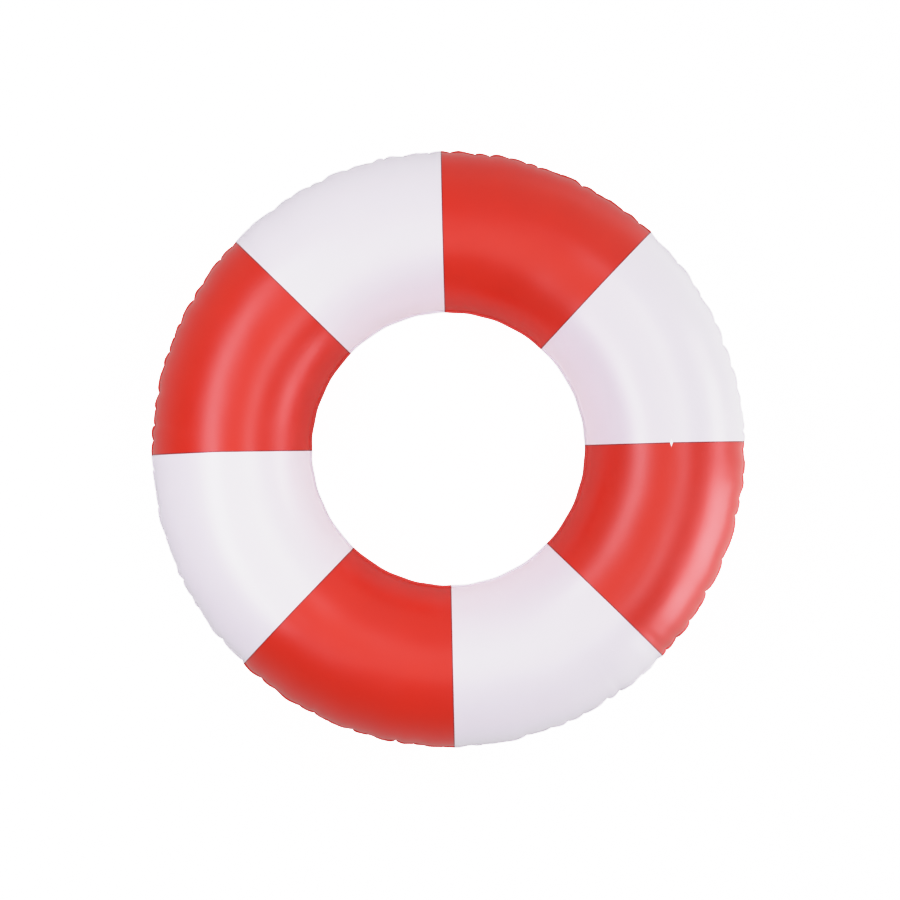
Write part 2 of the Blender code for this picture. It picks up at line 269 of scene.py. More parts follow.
def adder(tree):
    """Gives put(kind, settings, inputs), which adds a node and sets or links its named inputs."""

    def put(kind, settings=None, inputs=None):
        made = tree.nodes.new(kind)
        for name, value in (settings or {}).items():
            setattr(made, name, value)
        for name, value in (inputs or {}).items():
            if isinstance(value, bpy.types.NodeSocket):
                tree.links.new(value, made.inputs[name])
            else:
                made.inputs[name].default_value = value
        return made

    return put


def calculator(put):
    """Gives compute(operation, a, b, c), which adds a Math node and returns its value."""

    def compute(operation, *values, clamp=False):
        settings = {"operation": operation, "use_clamp": clamp}
        return put("ShaderNodeMath", settings, dict(enumerate(values))).outputs[0]

    return compute


def effect(name, inputs, outputs):
    """An empty shader node group with named sockets. Gives its tree, put, and two end nodes."""
    tree = bpy.data.node_groups.new(name, "ShaderNodeTree")
    for label, (kind, default) in inputs.items():
        socket = tree.interface.new_socket(name=label, in_out="INPUT", socket_type=kind)
        if default is not None:
            socket.default_value = default
    for label, kind in outputs.items():
        tree.interface.new_socket(name=label, in_out="OUTPUT", socket_type=kind)
    put = adder(tree)
    return tree, put, put("NodeGroupInput").outputs, put("NodeGroupOutput").inputs


def polar(put, place):
    """A place's angle round the ring's axis, and its distance from it."""
    compute = calculator(put)
    parts = put("ShaderNodeSeparateXYZ", None, {0: place}).outputs
    squares = [compute("POWER", parts[axis], 2.0) for axis in "XY"]
    return compute("ARCTAN2", parts["Y"], parts["X"]), compute("SQRT", compute("ADD", *squares))


FLOAT, VECTOR = "NodeSocketFloat", "NodeSocketVector"

# Soft PVC: a fine leathery peel from the calender roll, long shallow waves, and handling smudges.
grain, put, given, result = effect(
    "soft_pvc_grain",
    {
        "Place": (VECTOR, None),
        "Peel": (FLOAT, 3e-6),
        "Waves": (FLOAT, 4e-5),
        "Gloss": (FLOAT, 0.3),
    },
    {"Height": FLOAT, "Roughness": FLOAT},
)
compute = calculator(put)
place = given["Place"]
fine = put("ShaderNodeTexNoise", None, {"Vector": place, "Scale": 1400.0, "Detail": 3.0})
pits = put("ShaderNodeTexVoronoi", None, {"Vector": place, "Scale": 900.0})
waves = put("ShaderNodeTexNoise", None, {"Vector": place, "Scale": 26.0, "Detail": 2.0})
smudges = put("ShaderNodeTexNoise", None, {"Vector": place, "Scale": 18.0, "Detail": 6.0})
peel = compute("ADD", fine.outputs[0], pits.outputs["Distance"])
height = compute("MULTIPLY", peel, given["Peel"])
height = compute("MULTIPLY_ADD", waves.outputs[0], given["Waves"], height)
grain.links.new(height, result["Height"])
uneven = compute("MULTIPLY_ADD", smudges.outputs[0], 0.16, -0.08)
uneven = compute("MULTIPLY_ADD", fine.outputs[0], 0.05, uneven)
grain.links.new(compute("ADD", given["Gloss"], uneven, clamp=True), result["Roughness"])

# The ring's print: eight segments with edges across the film, each given as its angle and its lean
# at the rim, where the film stretches, in degrees. Ink is 1 on the red ones.
PRINT_EDGES = (
    (-179.25, 0.5),
    (-133.85, 0.2),
    (-88.75, 0.0),
    (-43.8, -0.2),
    (1.72, -0.2),
    (47.1, -0.2),
    (91.55, -0.1),
    (135.6, 0.1),
)
segments, put, given, result = effect(
    "print_segments", {"Place": (VECTOR, None)}, {"Ink": FLOAT, "From edge": FLOAT}
)
compute = calculator(put)
turn, radius = polar(put, given["Place"])
stretched = {"Value": radius, "From Min": tube_centre, "From Max": edge_radius}
stretched = put("ShaderNodeMapRange", None, stretched).outputs["Result"]
ink, gap = 1.0, 1.0
for count, (degrees, lean) in enumerate(PRINT_EDGES):
    edge = compute("MULTIPLY_ADD", stretched, math.radians(lean), math.radians(degrees))
    past = compute("GREATER_THAN", turn, edge)
    ink = compute("MULTIPLY_ADD", past, 1.0 if count % 2 else -1.0, ink)
    gap = compute("MINIMUM", compute("ABSOLUTE", compute("SUBTRACT", turn, edge)), gap)
segments.links.new(ink, result["Ink"])
segments.links.new(compute("MULTIPLY", gap, radius), result["From edge"])

# The weld's die leaves a fine crossed knurl. Mask says where it was pressed.
knurl, put, given, result = effect(
    "weld_knurl",
    {
        "Place": (VECTOR, None),
        "Mask": (FLOAT, 0.0),
        "Pitch": (FLOAT, 0.0011),
        "Depth": (FLOAT, 4e-5),
    },
    {"Height": FLOAT},
)
compute = calculator(put)
turn, radius = polar(put, given["Place"])
across = compute("MULTIPLY", radius, compute("DIVIDE", 2 * math.pi, given["Pitch"]))
around = compute("DIVIDE", 2 * math.pi * edge_radius, given["Pitch"])
around = compute("MULTIPLY", turn, around)
left = compute("SINE", compute("ADD", around, across))
right = compute("SINE", compute("SUBTRACT", around, across))
pressed = compute("MULTIPLY", compute("MAXIMUM", left, right), given["Depth"])
knurl.links.new(compute("MULTIPLY", pressed, given["Mask"]), result["Height"])

# White film, with the red laid down in one pass. The ink is a little uneven, and heaps up in a thin
# darker bead along its edges. A small white register mark shows on the front.
RED_INK = (0.67, 0.014, 0.001, 1.0)
RED_INK_DEEP = (0.635, 0.012, 0.0008, 1.0)
INK_BEAD = (0.20, 0.004, 0.010, 1.0)
WHITE_FILM = (0.775, 0.742, 0.79, 1.0)
WHITE_FILM_PALE = (0.785, 0.753, 0.80, 1.0)
MARK_WHITE = (0.98, 0.98, 0.98, 1.0)
BEAD_WIDTH = 0.0012
BEAD_STRENGTH = 0.8
MARK_RADIUS, MARK_TURN = 0.2678, math.radians(1.72)
MARK_PLACE = (MARK_RADIUS * math.cos(MARK_TURN), MARK_RADIUS * math.sin(MARK_TURN), 0.0)
MARK_HALF_HEIGHT = 0.0052
MARK_HALF_WIDTH = 0.0019
MARK_DROP = 0.0004
FILM_IOR = 1.5
FRONT_GLOSS = 0.32


def blank_material(name):
    """A material with only a Principled BSDF in it. Gives the material, its put, and the shader."""
    made = bpy.data.materials.new(name)
    made.use_nodes = True
    return made, adder(made.node_tree), made.node_tree.nodes["Principled BSDF"]


def mix_colour(put, factor, first, second):
    """A plain mix of two colours by a factor."""
    settings = {"data_type": "RGBA"}
    return put("ShaderNodeMix", settings, {0: factor, 6: first, 7: second}).outputs[2]


def printed_film(name, gloss, mark=False, valve_welds=()):
    """The printed film's material, with the register mark if asked, and with each weld that is
    listed as a node group and its seat."""
    made, put, shader = blank_material(name)
    compute = calculator(put)
    place = put("ShaderNodeTexCoord").outputs["Object"]
    printing = put("ShaderNodeGroup", {"node_tree": segments}, {"Place": place}).outputs
    cloudy = put("ShaderNodeTexNoise", None, {"Vector": place, "Scale": 14.0, "Detail": 5.0})
    speckle = put("ShaderNodeTexNoise", None, {"Vector": place, "Scale": 900.0, "Detail": 2.0})
    cloudy = compute("MULTIPLY", cloudy.outputs[0], 0.65)
    density = compute("MULTIPLY_ADD", speckle.outputs[0], 0.35, cloudy)
    density = {"Value": density, "From Min": 0.35, "From Max": 0.65}
    density = put("ShaderNodeMapRange", None, density).outputs[0]
    red = mix_colour(put, density, RED_INK, RED_INK_DEEP)
    bead = compute("LESS_THAN", printing["From edge"], BEAD_WIDTH)
    red = mix_colour(put, compute("MULTIPLY", bead, BEAD_STRENGTH), red, INK_BEAD)
    white = mix_colour(put, density, WHITE_FILM, WHITE_FILM_PALE)
    colour = mix_colour(put, printing["Ink"], white, red)
    if mark:
        off = put("ShaderNodeVectorMath", {"operation": "SUBTRACT"}, {0: place, 1: MARK_PLACE})
        off = put("ShaderNodeSeparateXYZ", None, {0: off.outputs[0]}).outputs
        along = compute("ABSOLUTE", compute("ADD", off["Y"], MARK_DROP))
        along = compute("DIVIDE", along, MARK_HALF_HEIGHT)
        wide = compute("DIVIDE", compute("ABSOLUTE", off["X"]), MARK_HALF_WIDTH)
        diamond = compute("LESS_THAN", compute("ADD", along, wide), 1.0)
        colour = mix_colour(put, diamond, colour, MARK_WHITE)
    made.node_tree.links.new(colour, shader.inputs["Base Color"])
    surface = put("ShaderNodeGroup", {"node_tree": grain}, {"Place": place, "Gloss": gloss})
    height = surface.outputs["Height"]
    mask = put("ShaderNodeAttribute", {"attribute_name": "weld"}).outputs["Fac"]
    for group, seat in valve_welds:
        weld = {"Place": place, "Seat": tuple(seat)}
        weld = put("ShaderNodeGroup", {"node_tree": group}, weld).outputs
        height = compute("ADD", height, weld["Height"])
        mask = compute("MAXIMUM", mask, weld["Band"])
    pattern = put("ShaderNodeGroup", {"node_tree": knurl}, {"Place": place, "Mask": mask})
    height = compute("ADD", height, pattern.outputs["Height"])
    rough = compute("MULTIPLY_ADD", mask, 0.12, surface.outputs["Roughness"])
    made.node_tree.links.new(rough, shader.inputs["Roughness"])
    bump = put("ShaderNodeBump", None, {"Strength": 1.0, "Distance": 1.0, "Height": height})
    made.node_tree.links.new(bump.outputs[0], shader.inputs["Normal"])
    shader.inputs["IOR"].default_value = FILM_IOR
    return made


def wear(made, material, body="root", replaced=()):
    """Gives a piece its material and its body, and hides the CAD nodes it stands for."""
    made.data.materials.clear()
    made.data.materials.append(material)
    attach(made, body)
    if replaced:
        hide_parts(*replaced)


printed_front = printed_film("printed_front", FRONT_GLOSS, mark=True)
wear(front_film, printed_front, replaced=["front_panel"])


# The back film is the same annulus, welded under the front one. Before that, two valve flanges were
# welded behind round holes in it, and the divider's edge was welded to its inside. It is flat where
# the stiff flanges hold it, and where the ring rests.

VALVES = ("main_valve", "safety_valve")
VALVE_HOLE = 0.0138
FLAT_WITHIN = 0.020
CURVED_BEYOND = 0.042
MOUTH_DEPTH = 0.0008
CHAMBER_LAP = 0.005
BACK_ROWS = 57
BACK_GLOSS = 0.33

joints = {joint["name"]: joint for joint in frame["joints"]}


def valve_frame(valve):
    """The valve's seat and its axes as rows: up the wall, round the ring, and outwards.

    Outwards is the way the stem slides. The seat is on the stem's axis, level with the film."""
    outwards = np.array(joints[valve + "_stem_slide"]["axis"])
    around = np.array(joints[valve + "_plug_hinge"]["axis"])
    axes = np.array([np.cross(around, outwards), around, outwards])
    inside = node_points(valve + "_stem") @ axes.T
    low, high = inside.min(0), inside.max(0)
    middle = (low + high) / 2
    middle[2] = high[2] + MOUTH_DEPTH
    return middle @ axes, axes


seats = {valve: valve_frame(valve) for valve in VALVES}


def flatten(grid, seat, axes):
    """Presses the film onto a valve's seat plane, fully within one radius and not at all beyond
    another."""
    local = (grid - seat) @ axes.T
    away = np.linalg.norm(local, axis=-1)
    hold = np.clip((CURVED_BEYOND - away) / (CURVED_BEYOND - FLAT_WITHIN), 0, 1)
    hold = hold**2 * (3 - 2 * hold)
    return grid - (hold * local[..., 2])[..., None] * axes[2]


seat_angles = []
for seat, _ in seats.values():
    offset = math.hypot(*seat[:2]) - tube_centre
    seat_angles.append(math.atan2(seam_height - seat[2], offset))
lap = CHAMBER_WELD + np.linspace(-0.5, 0.5, 5) * CHAMBER_LAP / tube_half
back_angles = section_rows(BACK_ROWS, [CHAMBER_WELD, *seat_angles], 0.13)
clear_of_lap = np.abs(back_angles - CHAMBER_WELD) > 0.8 * CHAMBER_LAP / tube_half
back_angles = np.sort(np.append(back_angles[clear_of_lap], lap))
back_grid, back_weld = film_skin(-1, back_angles)
for seat, axes in seats.values():
    back_grid = flatten(back_grid, seat, axes)
back_film = film_shell("back_film", back_grid, -1, back_weld)


def apply_modifiers(made):
    """Replaces the object's mesh by what its modifiers make of it, and drops the modifiers."""
    graph = bpy.context.evaluated_depsgraph_get()
    result = bpy.data.meshes.new_from_object(made.evaluated_get(graph))
    old = made.data
    made.modifiers.clear()
    made.data = result
    bpy.data.meshes.remove(old)


def combine(target, tools, operation):
    """Cuts a piece with tools, or unites it with them, and removes the tools."""
    for tool in tools:
        step = target.modifiers.new(tool.name, "BOOLEAN")
        step.operation = operation
        step.solver = "EXACT"
        step.object = tool
    apply_modifiers(target)
    for tool in tools:
        bpy.data.objects.remove(tool)


def merge_poles(made):
    """Merges the corners that lie on each other, and drops the faces left without area."""
    step = made.modifiers.new("poles", "WELD")
    step.merge_threshold = 1e-7
    apply_modifiers(made)


def turned(name, loop, seat, axes, sides=72):
    """A closed (radius, height) loop turned round a valve's axis: r cos, r sin, h, on the seat.

    The loop is taken anticlockwise, so that the faces point outwards. Where it lies on the axis,
    its points merge into one pole."""
    after = np.roll(loop, -1, 0)
    if (loop[:, 0] * after[:, 1] - after[:, 0] * loop[:, 1]).sum() < 0:
        loop = loop[::-1]
    turn = 2 * np.pi * np.arange(sides) / sides
    radius, height = loop[:, None, 0], loop[:, None, 1]
    local = np.stack([radius * np.cos(turn), radius * np.sin(turn), height + 0 * turn], -1)
    points = (local @ axes + seat).reshape(-1, 3)
    made = add_mesh(name, points, grid_faces(len(loop), sides).tolist())
    merge_poles(made)
    return made


# A round punch cuts the hole in front of each flange.
PUNCH_REACH = 0.012
PUNCH_LOOP = [
    (0, PUNCH_REACH),
    (VALVE_HOLE, PUNCH_REACH),
    (VALVE_HOLE, -PUNCH_REACH),
    (0, -PUNCH_REACH),
]
punches = [turned("punch", np.array(PUNCH_LOOP), *place, 96) for place in seats.values()]
combine(back_film, punches, "DIFFERENCE")

# Where a flange is welded behind the film, a pressed band shows in a ring round the valve.
BAND_RADIUS = 0.0161
BAND_HALF_WIDTH = 0.0020
BAND_OUTER_HALF_WIDTH = 0.0024
valve_weld, put, given, result = effect(
    "valve_weld",
    {"Place": (VECTOR, None), "Seat": (VECTOR, None)},
    {"Band": FLOAT, "Height": FLOAT},
)
compute = calculator(put)
ends = {0: given["Place"], 1: given["Seat"]}
away = put("ShaderNodeVectorMath", {"operation": "DISTANCE"}, ends).outputs["Value"]
away = compute("ABSOLUTE", compute("SUBTRACT", away, BAND_RADIUS))
band = {"Value": away, "From Min": BAND_HALF_WIDTH, "From Max": BAND_OUTER_HALF_WIDTH}
band = put("ShaderNodeMapRange", {"interpolation_type": "SMOOTHSTEP"}, band).outputs["Result"]
band = compute("SUBTRACT", 1.0, band)
valve_weld.links.new(band, result["Band"])
valve_weld.links.new(compute("MULTIPLY", band, -8e-5), result["Height"])

valve_welds = [(valve_weld, seat) for seat, _ in seats.values()]
printed_back = printed_film("printed_back", BACK_GLOSS, valve_welds=valve_welds)
wear(back_film, printed_back, replaced=["back_panel"])


# The divider is a thinner clear film between the two, which splits the tube into two air chambers.
# Its inner edge lies in the hole's weld, and its outer edge is lap-welded to the inside of the back
# film.

DIVIDER_FILM = 0.0002
DIVIDER_BULGE = 0.025
DIVIDER_OVERHANG = 0.0004
LAP_CLEARANCE = 0.00015

lap_grid = film_skin(-1, np.append(lap, np.pi))[0][7:12]
lap_grid = (lap_grid - (FILM + LAP_CLEARANCE) * faces_outwards(lap_grid, -1))[::-1]
round_hole = np.stack([np.cos(azimuth), np.sin(azimuth), 0 * azimuth], -1)
divider_level = [0, 0, seam_height - DIVIDER_FILM / 2]
hole_edge = round_hole * (hole_radius + DIVIDER_OVERHANG) + divider_level
hole_root = round_hole * inner_root + divider_level
t = np.linspace(0, 1, 14)[1:-1, None, None]
bulge = 2 * DIVIDER_BULGE * (0.35 * round_hole + np.array([0, 0, 0.9]))
pull = (hole_root + lap_grid[0]) / 2 + bulge
curve = (1 - t) ** 2 * hole_root + 2 * t * (1 - t) * pull + t**2 * lap_grid[0]
divider_grid = np.concatenate([[hole_edge, hole_root], curve, lap_grid])[::-1]
no_weld = np.zeros(divider_grid.shape[:2])
divider = film_shell("divider_film", divider_grid, -1, no_weld, DIVIDER_FILM)


def soft_moulding(name, colour, shade, gloss, clear=0.0):
    """Soft PVC in one colour that clouds a little towards a second one, with its mould's grain."""
    made, put, shader = blank_material(name)
    place = put("ShaderNodeTexCoord").outputs["Object"]
    cloudy = put("ShaderNodeTexNoise", None, {"Vector": place, "Scale": 220.0, "Detail": 4.0})
    colour = mix_colour(put, cloudy.outputs[0], colour, shade)
    made.node_tree.links.new(colour, shader.inputs["Base Color"])
    values = {"Place": place, "Gloss": gloss, "Peel": 1.5e-6, "Waves": 0.0}
    surface = put("ShaderNodeGroup", {"node_tree": grain}, values).outputs
    made.node_tree.links.new(surface["Roughness"], shader.inputs["Roughness"])
    bump = {"Strength": 1.0, "Distance": 1.0, "Height": surface["Height"]}
    bump = put("ShaderNodeBump", None, bump)
    made.node_tree.links.new(bump.outputs[0], shader.inputs["Normal"])
    shader.inputs["IOR"].default_value = 1.52
    shader.inputs["Transmission Weight"].default_value = clear
    return made


clear_film = soft_moulding("clear_film", (0.80, 0.83, 0.88, 1), (0.74, 0.78, 0.84, 1), 0.2, 0.6)
wear(divider, clear_film, replaced=["chamber_divider"])


# The valves' fixed parts. The flange is a stiffer PVC washer, high-frequency welded behind the
# film. The skirt is a thin soft funnel moulded to it, whose lip covers the washer's step. It rolls
# over when the stem is pulled out.

# Lines and loops are in millimetres: distance from the valve's axis, height out from its seat, and
# the rounding of a loop's corner.
FLANGE = [
    (13.7, -0.32, 0.1),
    (18.3, -0.32, 0.3),
    (18.3, -1.27, 0.3),
    (12.8, -1.27, 0.1),
    (12.8, -0.78, 0.05),
    (13.7, -0.78, 0.05),
]
SKIRT_HALF_WALL = 0.0003
SKIRT_LINE = [
    (13.6, -0.42),
    (12.3, -0.42),
    (12.15, -2.4),
    (10.6, -6.2),
    (7.6, -12.2),
    (6.36, -14.1),
    (6.36, -15.9),
]
SKIRT_BEND_TOP, SKIRT_BEND_FOOT = 0.0012, 0.0142

valve_white = soft_moulding("valve_white", (0.66, 0.66, 0.68, 1), (0.60, 0.61, 0.63, 1), 0.32)
valve_soft = soft_moulding("valve_soft", (0.70, 0.72, 0.75, 1), (0.65, 0.68, 0.71, 1), 0.24, 0.12)


def rounded(corners, steps=4):
    """A closed loop of (radius, height, rounding) corners, in millimetres.

    Each corner becomes a quadratic curve that starts and ends its rounding away from it."""
    corners = np.array(corners, float) / 1000
    points, cut = corners[:, None, :2], corners[:, None, 2:]
    before, after = np.roll(points, 1, 0) - points, np.roll(points, -1, 0) - points
    before = points + cut * before / np.linalg.norm(before, axis=-1, keepdims=True)
    after = points + cut * after / np.linalg.norm(after, axis=-1, keepdims=True)
    t = np.linspace(0, 1, steps + 1)[None, :, None]
    return ((1 - t) ** 2 * before + 2 * t * (1 - t) * points + t**2 * after).reshape(-1, 2)


def eased_line(corners, steps=6):
    """A smooth line past (radius, height) corners in millimetres: a quadratic B-spline that keeps
    its ends."""
    corners = np.array(corners, float) / 1000
    middle = (corners[1:] + corners[:-1]) / 2
    knots = np.vstack([corners[:1], middle[1:-1], corners[-1:]])
    t = np.linspace(0, 1, steps, endpoint=False)[None, :, None]
    first, bend, last = knots[:-1, None], corners[1:-1, None], knots[1:, None]
    line = ((1 - t) ** 2 * first + 2 * t * (1 - t) * bend + t**2 * last).reshape(-1, 2)
    return np.vstack([line, corners[-1:]])


def walled(line, half_wall):
    """The closed loop at half a wall's distance to either side of a line."""
    run = np.gradient(line, axis=0)
    run = run / np.linalg.norm(run, axis=-1, keepdims=True)
    side = half_wall * np.stack([-run[:, 1], run[:, 0]], -1)
    return np.vstack([line + side, (line - side)[::-1]])


for valve, (seat, axes) in seats.items():
    washer = turned(valve + "_washer", rounded(FLANGE), seat, axes)
    wear(washer, valve_white, replaced=[valve + "_flange"])
    skirt_loop = walled(eased_line(SKIRT_LINE), SKIRT_HALF_WALL)
    funnel = turned(valve + "_funnel", skirt_loop, seat, axes, 96)
    funnel.data.materials.append(valve_soft)
    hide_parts(valve + "_skirt")
    start, end = seat - SKIRT_BEND_TOP * axes[2], seat - SKIRT_BEND_FOOT * axes[2]
    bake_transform(funnel)
    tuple(start)
    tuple(end)


# The stem is a soft tube with a rim at its mouth and, at its foot, a collar that the skirt grips
# and a seat for the flap. A strap moulded with a ring is slipped under the rim. It carries the cap.

STEM = [
    (3.8, -0.8, 0.25),
    (3.8, -14.8, 0.1),
    (2.8, -14.8, 0.2),
    (2.8, -16.0, 0.2),
    (6.0, -16.0, 0.3),
    (6.0, -14.5, 0.3),
    (5.2, -14.5, 0.25),
    (5.2, -2.0, 0.2),
    (6.4, -2.0, 0.3),
    (6.4, -0.8, 0.35),
]
RING = [(5.45, -2.2, 0.2), (7.2, -2.2, 0.35), (7.2, -3.5, 0.35), (5.45, -3.5, 0.2)]
STRAP_LINE = [
    (6.3, -2.85),
    (9.4, -2.85),
    (11.25, -2.7),
    (11.35, -0.9),
    (10.6, 0.0),
    (9.3, -0.08),
    (6.4, -0.08),
]
STRAP_HALF_WIDTH = 0.002
STRAP_HALF_THICKNESS = 0.00036
STRAP_BEND_FOOT, STRAP_BEND_TOP = 0.0021, 0.0007


def bar(name, line, half_width, half_thickness, seat, axes, sides=20):
    """A rounded rectangular section carried along a line in the valve's up-outwards plane.

    The section is a superellipse, |cos|^0.4 by |sin|^0.4, and both ends close in a pole."""
    turn = 2 * np.pi * (np.arange(sides) + 0.5) / sides
    across = np.sign(np.cos(turn)) * np.abs(np.cos(turn)) ** 0.4
    through = np.sign(np.sin(turn)) * np.abs(np.sin(turn)) ** 0.4
    run = np.gradient(line, axis=0)
    run = run / np.linalg.norm(run, axis=-1, keepdims=True)
    length = np.cumsum(np.linalg.norm(np.diff(line, axis=0), axis=-1))
    length = np.concatenate([[0], length])
    from_end = np.minimum(length, length[-1] - length)
    fade = 1 - np.clip(1 - from_end / half_thickness, 0, 1) ** 2
    fade = np.sqrt(np.clip(fade, 0, 1))[:, None]
    wide = (half_width - half_thickness * (1 - fade)) * (fade > 0) * across
    thick = half_thickness * fade * through
    x = line[:, :1] - run[:, 1:] * thick
    z = line[:, 1:] + run[:, :1] * thick
    points = (np.stack([x, wide, z], -1) @ axes + seat).reshape(-1, 3)
    made = add_mesh(name, points, grid_faces(len(line), sides, close_rows=False).tolist())
    merge_poles(made)
    return made


def ends_added(line, step):
    """The line with extra points close to both ends, so that the ends can round off."""
    first, last = line[:1], line[-1:]
    lead = (line[1:2] - first) / np.linalg.norm(line[1] - line[0])
    tail = (line[-2:-1] - last) / np.linalg.norm(line[-2] - line[-1])
    near = step * np.array([0.0, 0.1, 0.3, 0.6, 1.0])[:, None]
    return np.vstack([first + near * lead, line[1:-1], (last + near * tail)[::-1]])


for valve, (seat, axes) in seats.items():
    tube = turned(valve + "_tube", rounded(STEM), seat, axes)
    wear(tube, valve_white, valve + "_stem", [valve + "_stem"])
    tether = turned(valve + "_strap", rounded(RING), seat, axes)
    line = ends_added(eased_line(STRAP_LINE), STRAP_HALF_THICKNESS)
    strip = bar("strip", line, STRAP_HALF_WIDTH, STRAP_HALF_THICKNESS, seat, axes)
    combine(tether, [strip], "UNION")
    tether.data.shade_smooth()
    tether.data.materials.append(valve_white)
    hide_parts(valve + "_tether")
    start, end = seat - STRAP_BEND_FOOT * axes[2], seat - STRAP_BEND_TOP * axes[2]
    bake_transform(tether)
    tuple(start)
    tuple(end)


# The cap is moulded in one with its plug, which has two soft ridges that seal in the stem's bore.
# It has a low rim, and a ribbed tab on the far side from the strap to pull it open by. The flap
# under the stem keeps the plain shape that it has.

CAP = [
    (0.0, 0.55, 0.0),
    (5.0, 0.55, 0.3),
    (5.5, 0.8, 0.3),
    (6.95, 0.8, 0.45),
    (6.95, -0.5, 0.25),
    (3.45, -0.5, 0.15),
    (3.45, -1.2, 0.2),
    (3.68, -1.55, 0.13),
    (3.68, -1.85, 0.13),
    (3.35, -2.2, 0.18),
    (3.3, -2.6, 0.15),
    (3.5, -2.9, 0.1),
    (3.45, -3.15, 0.1),
    (3.1, -3.5, 0.2),
    (2.75, -5.0, 0.5),
    (0.0, -5.0, 0.0),
]
TAB_LINE = [(-5.8, 0.33), (-7.5, 0.33), (-10.0, 0.33)]
TAB_HALF_WIDTH, TAB_HALF_THICKNESS = 0.0025, 0.0003
TAB_RIBS = (-8.0, -8.7, -9.4)
RIB_HEIGHT = 0.55
RIB_HALF_LENGTH = 0.15
RIB_HALF_WIDTH, RIB_HALF_THICKNESS = 0.002, 0.00022
RIB_END = 0.00008

for valve, (seat, axes) in seats.items():
    cap = turned(valve + "_cap", rounded(CAP), seat, axes)
    line = ends_added(eased_line(TAB_LINE), TAB_HALF_THICKNESS)
    parts = [bar("tab", line, TAB_HALF_WIDTH, TAB_HALF_THICKNESS, seat, axes)]
    for rib in TAB_RIBS:
        ends = [(rib - RIB_HALF_LENGTH, RIB_HEIGHT), (rib + RIB_HALF_LENGTH, RIB_HEIGHT)]
        line = ends_added(np.array(ends) / 1000, RIB_END)
        parts.append(bar("rib", line, RIB_HALF_WIDTH, RIB_HALF_THICKNESS, seat, axes))
    combine(cap, parts, "UNION")
    cap.data.shade_smooth()
    wear(cap, valve_white, valve + "_plug", [valve + "_plug"])
    flap = frame["nodes"][valve + "_flap"]
    flap.data.materials.clear()
    flap.data.materials.append(valve_soft)


# The room: a pale floor under the ring, which is seen through from below, and a pale surround. How
# bright each one is depends on whether it is seen, mirrored in the film, or lights it.

FLOOR_HALF = 30.0
FLOOR_DROP = 0.0002
# How bright the floor looks when mirrored in the film paints its light and shade: near the ring,
# far off, inside the hole (painted shade), and a painted pool of light to the right.
FLOOR_NEAR = 0.42
FLOOR_FAR = 0.28
FLOOR_INSIDE = 0.04
FLOOR_POOL = 0.55
FLOOR_FILL = 1.2
FLOOR_FILL_INSIDE = 2.7
ROOM_FILL = 0.08
ROOM_FILL_SIDES = (("X", 1, 0.9), ("X", -1, 0.2), ("Y", 1, 0.65), ("Y", -1, 0.35))
ROOM_WARM = (1.0, 0.98, 0.84, 1.0)
BACKDROP = 2.0
ROOM_GLOW = 0.3
AHEAD_GLOW = 0.4

corners = np.array([(-1, -1, 0), (1, -1, 0), (1, 1, 0), (-1, 1, 0)]) * FLOOR_HALF
floor = add_mesh("studio_floor", corners - [0, 0, FLOOR_DROP], [[0, 1, 2, 3]])
floor_look, put, shader = blank_material("floor_pale")
shader.inputs["Base Color"].default_value = (0.14, 0.14, 0.14, 1)
shader.inputs["Roughness"].default_value = 0.9
shader.inputs["Specular IOR Level"].default_value = 0.0
compute = calculator(put)
smooth = {"interpolation_type": "SMOOTHSTEP"}
place = put("ShaderNodeTexCoord").outputs["Object"]
away = put("ShaderNodeVectorMath", {"operation": "LENGTH"}, {0: place}).outputs["Value"]
# The floor's glow as mirrored in the film is painted light: it fades away from the ring, a painted
# pool of light lies to the right, and the floor inside the hole is painted in shade. For diffuse
# rays it glows more strongly inside the hole.
falls = {"From Min": 0.45, "From Max": 1.3, "To Min": FLOOR_NEAR, "To Max": FLOOR_FAR}
falls["Value"] = away
falls = put("ShaderNodeMapRange", smooth, falls).outputs["Result"]
inside = compute("LESS_THAN", away, hole_radius)
rightwards = put("ShaderNodeSeparateXYZ", None, {0: place}).outputs["X"]
# Painted pool of light on the floor to the right, seen only in reflections.
pool = {"Value": rightwards, "From Min": 0.25, "From Max": 0.5, "To Max": FLOOR_POOL}
pool = put("ShaderNodeMapRange", smooth, pool).outputs["Result"]
falls = compute("ADD", falls, pool)
# Painted shade on the floor inside the hole, as seen in reflections.
falls = compute("MULTIPLY_ADD", inside, FLOOR_INSIDE - FLOOR_NEAR, falls)
fill = compute("MULTIPLY_ADD", inside, FLOOR_FILL_INSIDE - FLOOR_FILL, FLOOR_FILL)
ray = put("ShaderNodeLightPath").outputs
glow = compute("MULTIPLY", ray["Is Glossy Ray"], falls)
glow = compute("MULTIPLY_ADD", ray["Is Diffuse Ray"], fill, glow)
glow = compute("MULTIPLY_ADD", ray["Is Camera Ray"], BACKDROP, glow)
shader.inputs["Emission Color"].default_value = (1, 1, 1, 1)
floor_look.node_tree.links.new(glow, shader.inputs["Emission Strength"])
through = put("ShaderNodeBsdfTransparent").outputs[0]
behind = put("ShaderNodeNewGeometry").outputs["Backfacing"]
both = put("ShaderNodeMixShader", None, {0: behind, 1: shader.outputs[0], 2: through})
output = next(node for node in floor_look.node_tree.nodes if node.type == "OUTPUT_MATERIAL")
floor_look.node_tree.links.new(both.outputs[0], output.inputs["Surface"])
floor.data.materials.append(floor_look)

